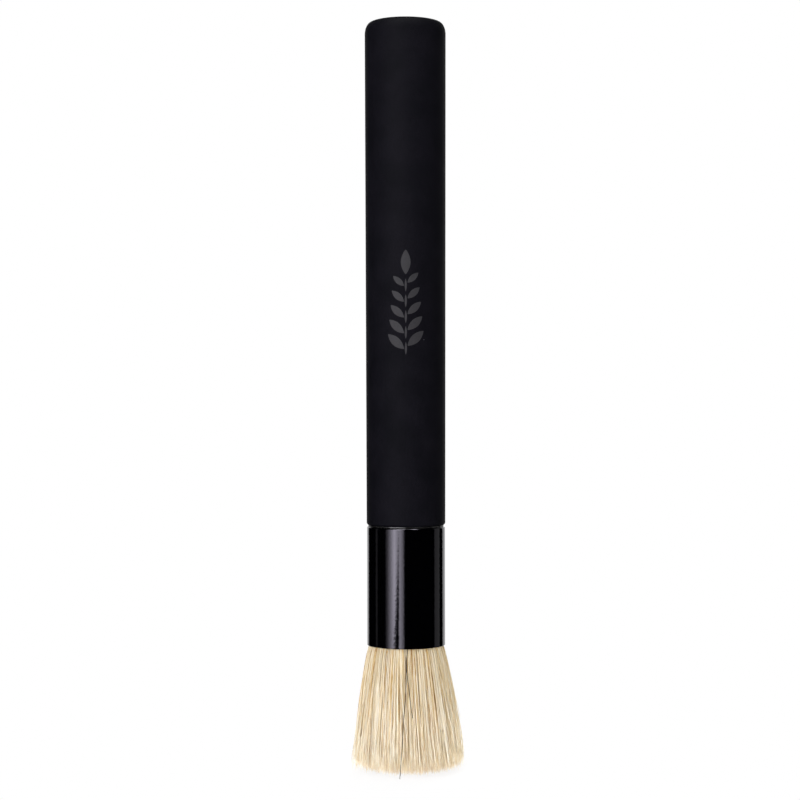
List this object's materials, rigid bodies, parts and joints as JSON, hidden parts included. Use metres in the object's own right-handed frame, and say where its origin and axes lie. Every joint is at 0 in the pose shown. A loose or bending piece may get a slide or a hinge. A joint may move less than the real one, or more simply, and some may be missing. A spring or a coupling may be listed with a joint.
{
  "type": "round stencil brush",
  "caption": "Round stencil brush with a soft-touch black handle, a gloss black ferrule and flared natural bristles that end in a flat dabbing face.",
  "frame": {"origin": "centre of the flat working face of the bristles, which is the lowest point of the part", "axes": "+Z along the brush's axis from the bristle tips to the butt of the handle; +X and +Y across it, with the decoration on the handle facing -Y"},
  "size_m": [0.0272, 0.0272, 0.1866],
  "materials": {
    "beech": "turned, bare",
    "soft_touch_coat": "matte soft-touch",
    "black_lacquer": "gloss black lacquer on aluminium",
    "glue": "dark, gloss",
    "setting_resin": "amber, gloss",
    "hog_bristle": "natural bristle"
  },
  "bodies": {
    "root": {"handle_core": "beech", "handle_coating": "soft_touch_coat", "ferrule": "black_lacquer", "ferrule_glue": "glue", "bristle_resin": "setting_resin", "bristle_core": "hog_bristle", "bristle_tuft_inner_01": "hog_bristle", "bristle_tuft_inner_02": "hog_bristle", "bristle_tuft_inner_03": "hog_bristle", "bristle_tuft_inner_04": "hog_bristle", "bristle_tuft_inner_05": "hog_bristle", "bristle_tuft_inner_06": "hog_bristle", "bristle_tuft_outer_01": "hog_bristle", "bristle_tuft_outer_02": "hog_bristle", "bristle_tuft_outer_03": "hog_bristle", "bristle_tuft_outer_04": "hog_bristle", "bristle_tuft_outer_05": "hog_bristle", "bristle_tuft_outer_06": "hog_bristle", "bristle_tuft_outer_07": "hog_bristle", "bristle_tuft_outer_08": "hog_bristle", "bristle_tuft_outer_09": "hog_bristle", "bristle_tuft_outer_10": "hog_bristle", "bristle_tuft_outer_11": "hog_bristle", "bristle_tuft_outer_12": "hog_bristle"}
  },
  "joints": []
}
